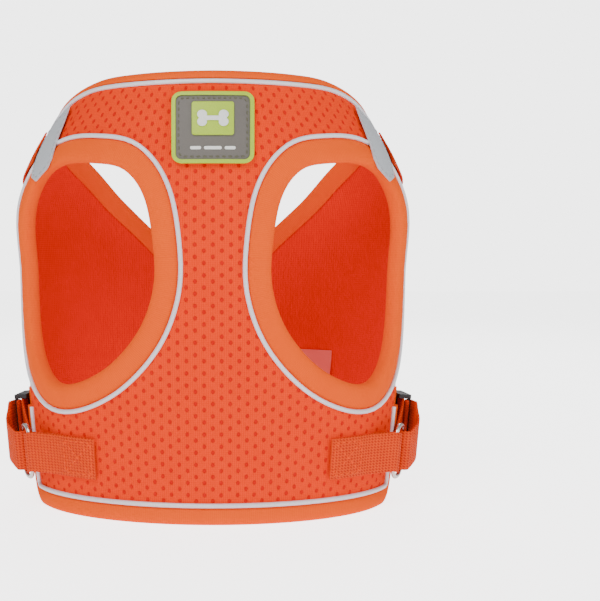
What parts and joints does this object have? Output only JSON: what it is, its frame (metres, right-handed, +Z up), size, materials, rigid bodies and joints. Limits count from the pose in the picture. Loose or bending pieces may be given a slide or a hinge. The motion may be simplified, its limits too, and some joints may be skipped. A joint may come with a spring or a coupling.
{
  "type": "no pull harness",
  "caption": "Vest harness for a small dog: air mesh body, padded leg openings, side straps that adjust, and lead rings on an overlapping back closure.",
  "frame": {"origin": "centre of the whole harness's box, on the ground that the hem stands on", "axes": "+Z up towards the neck, -Y out of the chest, +X towards the dog's left"},
  "size_m": [0.2166, 0.1448, 0.218],
  "materials": {
    "air_mesh": "knitted spacer mesh, matt",
    "lining_knit": "fine ribbed knit, matt",
    "binding_knit": "soft stretch binding, slight sheen",
    "orange_webbing": "woven webbing",
    "reflective_piping": "retroreflective piping, satin",
    "reflective_grey": "retroreflective tape, satin",
    "patch_rubber": "matt moulded rubber",
    "lime_rubber": "satin moulded rubber",
    "white_rubber": "satin moulded rubber",
    "nickel_steel": "nickel plate, polished",
    "black_plastic": "moulded, fine grain",
    "hook_and_loop": "hook and loop pile",
    "care_label": "blank woven label, matt"
  },
  "bodies": {
    "vest": {"care_label": "care_label", "chest_hem_binding": "binding_knit", "chest_lining": "lining_knit", "chest_panel": "air_mesh", "hem_piping": "reflective_piping", "left_adjusting_strap": "orange_webbing", "left_back_hem_binding": "binding_knit", "left_back_lining": "lining_knit", "left_back_panel": "air_mesh", "left_back_webbing": "orange_webbing", "left_chest_strap": "orange_webbing", "left_leg_binding": "binding_knit", "left_leg_piping": "reflective_piping", "left_shoulder_reflector": "reflective_grey", "neck_binding": "binding_knit", "neck_piping": "reflective_piping", "patch_base": "patch_rubber", "patch_bone": "white_rubber", "patch_emblem": "lime_rubber", "patch_rim": "lime_rubber", "right_adjusting_strap": "orange_webbing", "right_back_hem_binding": "binding_knit", "right_back_lining": "lining_knit", "right_back_panel": "air_mesh", "right_back_webbing": "orange_webbing", "right_chest_strap": "orange_webbing", "right_leg_binding": "binding_knit", "right_leg_piping": "reflective_piping", "right_shoulder_reflector": "reflective_grey"},
    "left_flap": {"left_flap_panel": "air_mesh", "left_flap_lining": "lining_knit", "left_flap_hem_binding": "binding_knit", "left_flap_neck_binding": "binding_knit", "left_ring_tab": "orange_webbing", "loop_tape": "hook_and_loop"},
    "right_flap": {"right_flap_panel": "air_mesh", "right_flap_lining": "lining_knit", "right_flap_hem_binding": "binding_knit", "right_flap_neck_binding": "binding_knit", "right_ring_tab": "orange_webbing", "hook_tape": "hook_and_loop"},
    "left_lead_ring": {"left_lead_ring": "nickel_steel"},
    "right_lead_ring": {"right_lead_ring": "nickel_steel"},
    "left_side_ring": {"left_side_ring": "nickel_steel"},
    "right_side_ring": {"right_side_ring": "nickel_steel"},
    "left_slider": {"left_slider": "black_plastic", "left_strap_end": "orange_webbing"},
    "right_slider": {"right_slider": "black_plastic", "right_strap_end": "orange_webbing"}
  },
  "joints": [
    {"name": "right_flap_open", "type": "hinge", "parent": "vest", "child": "right_flap", "pos_m": [-0.051, 0.05705, 0.08], "axis": [0, 0, 1], "range_deg": [0, 100]},
    {"name": "left_flap_open", "type": "hinge", "parent": "vest", "child": "left_flap", "pos_m": [0.051, 0.05705, 0.08], "axis": [0, 0, -1], "range_deg": [0, 51]},
    {"name": "left_lead_ring_swing", "type": "hinge", "parent": "left_flap", "child": "left_lead_ring", "pos_m": [0.03878, 0.06055, 0.119], "axis": [0.7071, -0.1874, -0.6818], "range_deg": [0, 120]},
    {"name": "right_lead_ring_swing", "type": "hinge", "parent": "right_flap", "child": "right_lead_ring", "pos_m": [-0.03955, 0.06339, 0.119], "axis": [0.6242, 0.3471, 0.6999], "range_deg": [0, 120]},
    {"name": "left_side_ring_swing", "type": "hinge", "parent": "vest", "child": "left_side_ring", "pos_m": [0.09195, -0.03455, 0.02873], "axis": [-0.0946, 0.0141, -0.9954], "range_deg": [-4, 9]},
    {"name": "right_side_ring_swing", "type": "hinge", "parent": "vest", "child": "right_side_ring", "pos_m": [-0.09195, -0.03455, 0.02873], "axis": [-0.0946, -0.0141, 0.9954], "range_deg": [-4, 9]},
    {"name": "left_slider_slide", "type": "slide", "parent": "vest", "child": "left_slider", "axis": [-0.1496, 0.9886, 0.0154], "range_m": [0, 0.005]},
    {"name": "right_slider_slide", "type": "slide", "parent": "vest", "child": "right_slider", "axis": [0.1496, 0.9886, 0.0154], "range_m": [0, 0.005]}
  ],
  "couplings": [
    {"joint": "left_flap_open", "follows": "right_flap_open", "ratio": 0.5}
  ]
}
